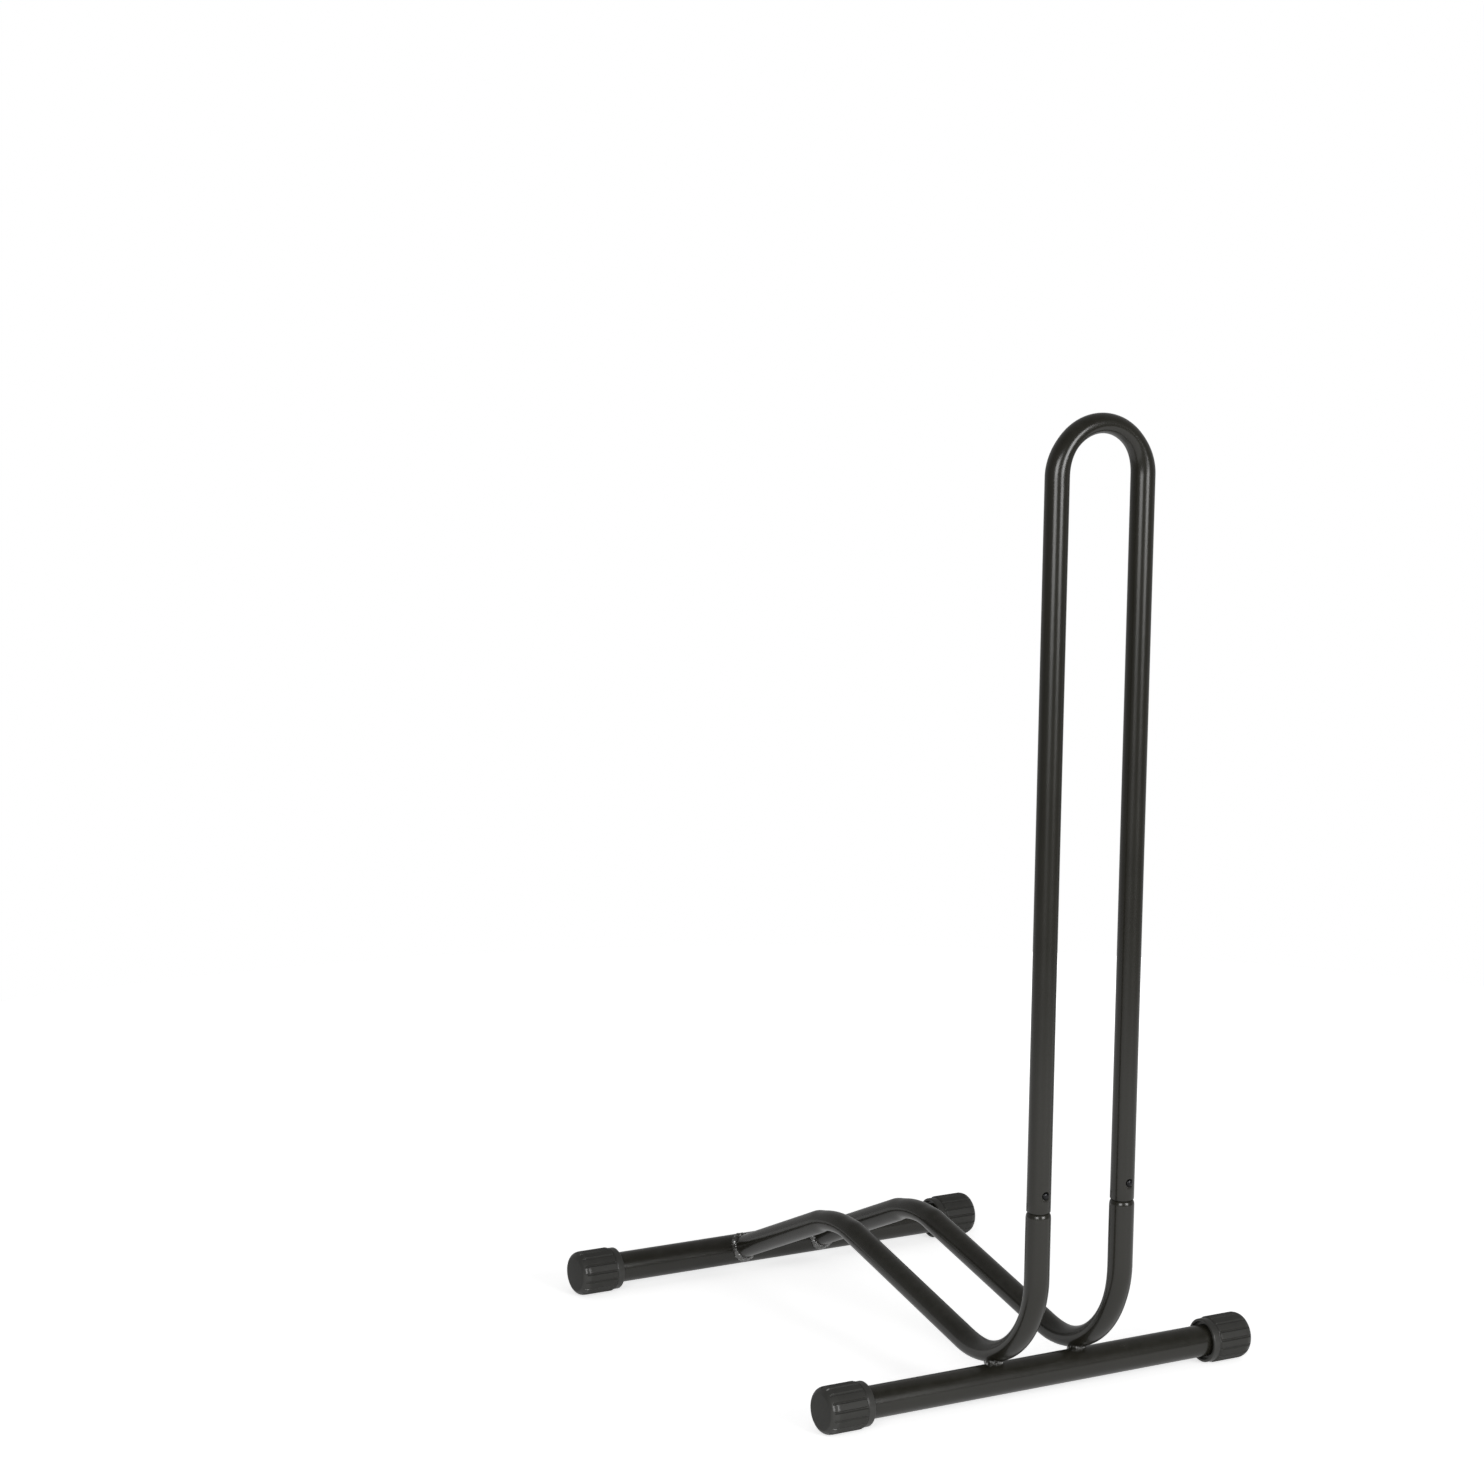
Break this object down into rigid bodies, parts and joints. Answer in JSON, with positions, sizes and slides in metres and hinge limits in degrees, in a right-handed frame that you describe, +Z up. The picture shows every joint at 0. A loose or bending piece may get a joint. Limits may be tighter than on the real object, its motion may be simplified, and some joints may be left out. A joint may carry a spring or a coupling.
{
  "type": "bike stand",
  "caption": "Floor bike stand of black bent tube: two ribbed-capped ground tubes, twin humped rails and a tall plug-in hoop that hold a wheel upright.",
  "frame": {"origin": "centre of the bounding box on the floor, under the stand", "axes": "+Z up along the hoop; +Y from the hoop to the rear ground tube, the way the wheel lies; X along the ground tubes"},
  "size_m": [0.3944, 0.4686, 0.7583],
  "materials": {
    "powder_coat": "satin black powder coat",
    "coated_weld": "black powder coat over a rippled weld bead",
    "cap_plastic": "moulded matt black plastic",
    "snap_button": "blacked steel",
    "spring_steel": "bright spring steel"
  },
  "bodies": {
    "base": {"front_ground_tube": "powder_coat", "rear_ground_tube": "powder_coat", "left_rail": "powder_coat", "right_rail": "powder_coat", "front_left_weld": "coated_weld", "front_right_weld": "coated_weld", "rear_left_weld": "coated_weld", "rear_right_weld": "coated_weld", "front_left_end_cap": "cap_plastic", "front_right_end_cap": "cap_plastic", "rear_left_end_cap": "cap_plastic", "rear_right_end_cap": "cap_plastic", "left_snap_spring": "spring_steel", "right_snap_spring": "spring_steel"},
    "hoop": {"hoop": "powder_coat"},
    "left_button": {"left_snap_button": "snap_button"},
    "right_button": {"right_snap_button": "snap_button"}
  },
  "joints": [
    {"name": "hoop_lift", "type": "slide", "parent": "base", "child": "hoop", "axis": [0, 0, 1], "range_m": [0, 0.12]},
    {"name": "left_button_press", "type": "slide", "parent": "base", "child": "left_button", "axis": [0, 1, 0], "range_m": [0, 0.003], "stiffness_N_per_m": 400, "springref_m": -0.002, "deforming": ["left_snap_spring"]},
    {"name": "right_button_press", "type": "slide", "parent": "base", "child": "right_button", "axis": [0, 1, 0], "range_m": [0, 0.003], "stiffness_N_per_m": 400, "springref_m": -0.002, "deforming": ["right_snap_spring"]}
  ]
}
